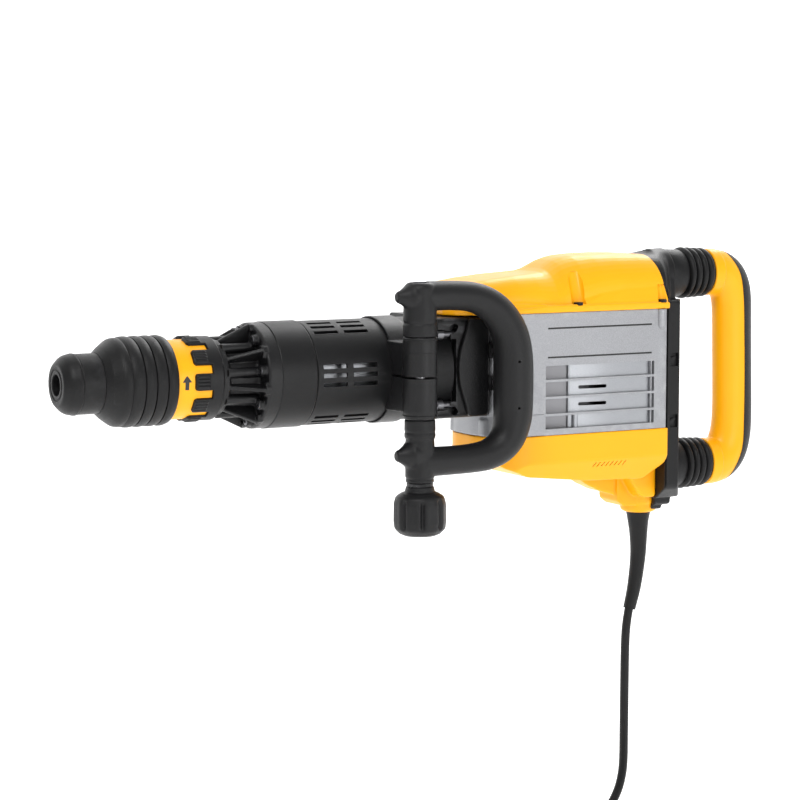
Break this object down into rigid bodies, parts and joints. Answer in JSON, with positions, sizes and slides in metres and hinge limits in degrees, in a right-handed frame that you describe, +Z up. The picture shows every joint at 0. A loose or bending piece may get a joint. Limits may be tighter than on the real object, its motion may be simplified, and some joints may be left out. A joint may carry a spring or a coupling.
{
  "type": "demolition hammer",
  "caption": "Mains demolition hammer with a long black barrel, a quick-lock chuck, a tall yellow and grey motor housing, a sprung D rear handle and a turnable D side grip.",
  "frame": {"origin": "on the barrel's axis, 38 mm behind the side grip's shaft and 17 mm ahead of the barrel's rear end", "axes": "-X along the barrel towards the chisel, +X towards the rear handle, +Z up, -Y the side that the side grip is on"},
  "size_m": [0.7705, 0.172, 0.6225],
  "materials": {
    "yellow_plastic": "moulded glass-filled nylon, satin",
    "black_plastic": "moulded nylon, fine texture",
    "black_rubber": "soft overmoulded rubber, matt",
    "black_casting": "light-alloy casting with a black powder coat",
    "cast_aluminium": "silver-painted die casting",
    "steel": "zinc-plated and ground steel",
    "hardened_steel": "hardened, oiled steel",
    "copper": "copper segments",
    "carbon": "pressed carbon"
  },
  "bodies": {
    "housing": {"front_housing": "black_casting", "front_screw_1": "steel", "front_screw_2": "steel", "front_screw_3": "steel", "front_screw_4": "steel", "barrel_front_cover": "black_plastic", "barrel_rear_cover": "black_plastic", "cylinder_tube": "steel", "gear_housing": "black_casting", "side_plate_left": "black_casting", "side_plate_right": "black_casting", "flange_bolt_upper_left": "steel", "flange_bolt_lower_left": "steel", "flange_bolt_upper_right": "steel", "flange_bolt_lower_right": "steel", "motor_housing": "cast_aluminium", "stator": "steel", "motor_bearing_upper": "steel", "motor_bearing_lower": "steel", "carbon_brush_left": "carbon", "carbon_brush_right": "carbon", "top_cover": "yellow_plastic", "lower_housing": "yellow_plastic", "rear_cover": "black_plastic", "boot_upper": "black_rubber", "boot_lower": "black_rubber", "handle_spring_upper": "steel", "handle_spring_lower": "steel", "strain_relief": "black_rubber", "cord": "black_rubber", "cord_coil": "black_rubber", "plug": "black_rubber"},
    "chuck": {"tool_holder": "hardened_steel", "nose_cap": "black_rubber", "locking_roller_upper": "hardened_steel", "locking_roller_lower": "hardened_steel", "locking_spring": "steel", "index_collar": "yellow_plastic", "index_ring": "black_plastic"},
    "sleeve": {"locking_sleeve": "black_rubber"},
    "beat_piece": {"beat_piece": "hardened_steel"},
    "ram": {"ram": "hardened_steel"},
    "piston": {"piston": "cast_aluminium", "wrist_pin": "steel"},
    "rod": {"connecting_rod": "cast_aluminium"},
    "crank": {"crank_gear": "hardened_steel"},
    "second_gear": {"intermediate_gear": "hardened_steel"},
    "armature": {"armature_shaft": "hardened_steel", "armature_core": "steel", "commutator": "copper", "cooling_fan": "black_plastic"},
    "rear_handle": {"rear_handle": "yellow_plastic", "handle_grip": "black_rubber"},
    "switch": {"power_switch": "black_plastic"},
    "clamp_ring": {"clamp_ring": "black_casting"},
    "side_grip": {"side_grip": "black_rubber", "clamp_bolt": "steel"},
    "knob_washer": {"knob_washer": "steel"},
    "knob": {"clamp_knob": "black_rubber"}
  },
  "joints": [
    {"name": "index_turn", "type": "hinge", "parent": "housing", "child": "chuck", "pos_m": [-0.25, 0, 0], "axis": [1, 0, 0], "continuous": true},
    {"name": "sleeve_slide", "type": "slide", "parent": "chuck", "child": "sleeve", "axis": [1, 0, 0], "range_m": [0, 0.008], "stiffness_N_per_m": 2500, "springref_m": -0.002, "deforming": ["locking_spring"]},
    {"name": "beat_piece_slide", "type": "slide", "parent": "housing", "child": "beat_piece", "axis": [1, 0, 0], "range_m": [-0.008, 0]},
    {"name": "ram_slide", "type": "slide", "parent": "housing", "child": "ram", "axis": [1, 0, 0], "range_m": [-0.016, 0]},
    {"name": "piston_slide", "type": "slide", "parent": "housing", "child": "piston", "axis": [1, 0, 0], "range_m": [0, 0.036]},
    {"name": "rod_swing", "type": "hinge", "parent": "piston", "child": "rod", "pos_m": [-0.046, 0, 0], "axis": [0, 0, 1], "range_deg": [-12.5, 12.5]},
    {"name": "armature_spin", "type": "hinge", "parent": "housing", "child": "armature", "pos_m": [0.156, 0, 0], "axis": [0, 0, 1], "continuous": true},
    {"name": "second_gear_spin", "type": "hinge", "parent": "housing", "child": "second_gear", "pos_m": [0.104, 0, 0], "axis": [0, 0, 1], "continuous": true},
    {"name": "crank_spin", "type": "hinge", "parent": "housing", "child": "crank", "pos_m": [0.055, 0, 0], "axis": [0, 0, 1], "continuous": true},
    {"name": "handle_slide", "type": "slide", "parent": "housing", "child": "rear_handle", "axis": [1, 0, 0], "range_m": [-0.01, 0], "stiffness_N_per_m": 6000, "springref_m": 0.002, "deforming": ["boot_upper", "boot_lower", "handle_spring_upper", "handle_spring_lower"]},
    {"name": "switch_slide", "type": "slide", "parent": "housing", "child": "switch", "axis": [0, 0, 1], "range_m": [-0.01, 0]},
    {"name": "ring_turn", "type": "hinge", "parent": "housing", "child": "clamp_ring", "pos_m": [-0.038, 0, 0], "axis": [1, 0, 0], "range_deg": [-5, 5]},
    {"name": "grip_swing", "type": "hinge", "parent": "clamp_ring", "child": "side_grip", "pos_m": [-0.038, -0.078, 0], "axis": [0, 0, 1], "range_deg": [-180, 0]},
    {"name": "knob_turn", "type": "hinge", "parent": "knob_washer", "child": "knob", "pos_m": [-0.038, -0.078, -0.12], "axis": [0, 0, 1], "range_deg": [-720, 0]},
    {"name": "washer_slide", "type": "slide", "parent": "side_grip", "child": "knob_washer", "axis": [0, 0, 1], "range_m": [-0.0025, 0]}
  ],
  "couplings": [
    {"joint": "second_gear_spin", "follows": "armature_spin", "ratio": -0.2},
    {"joint": "crank_spin", "follows": "armature_spin", "ratio": 0.085714},
    {"joint": "washer_slide", "follows": "knob_turn", "m_per_rad": 0.00019894}
  ]
}
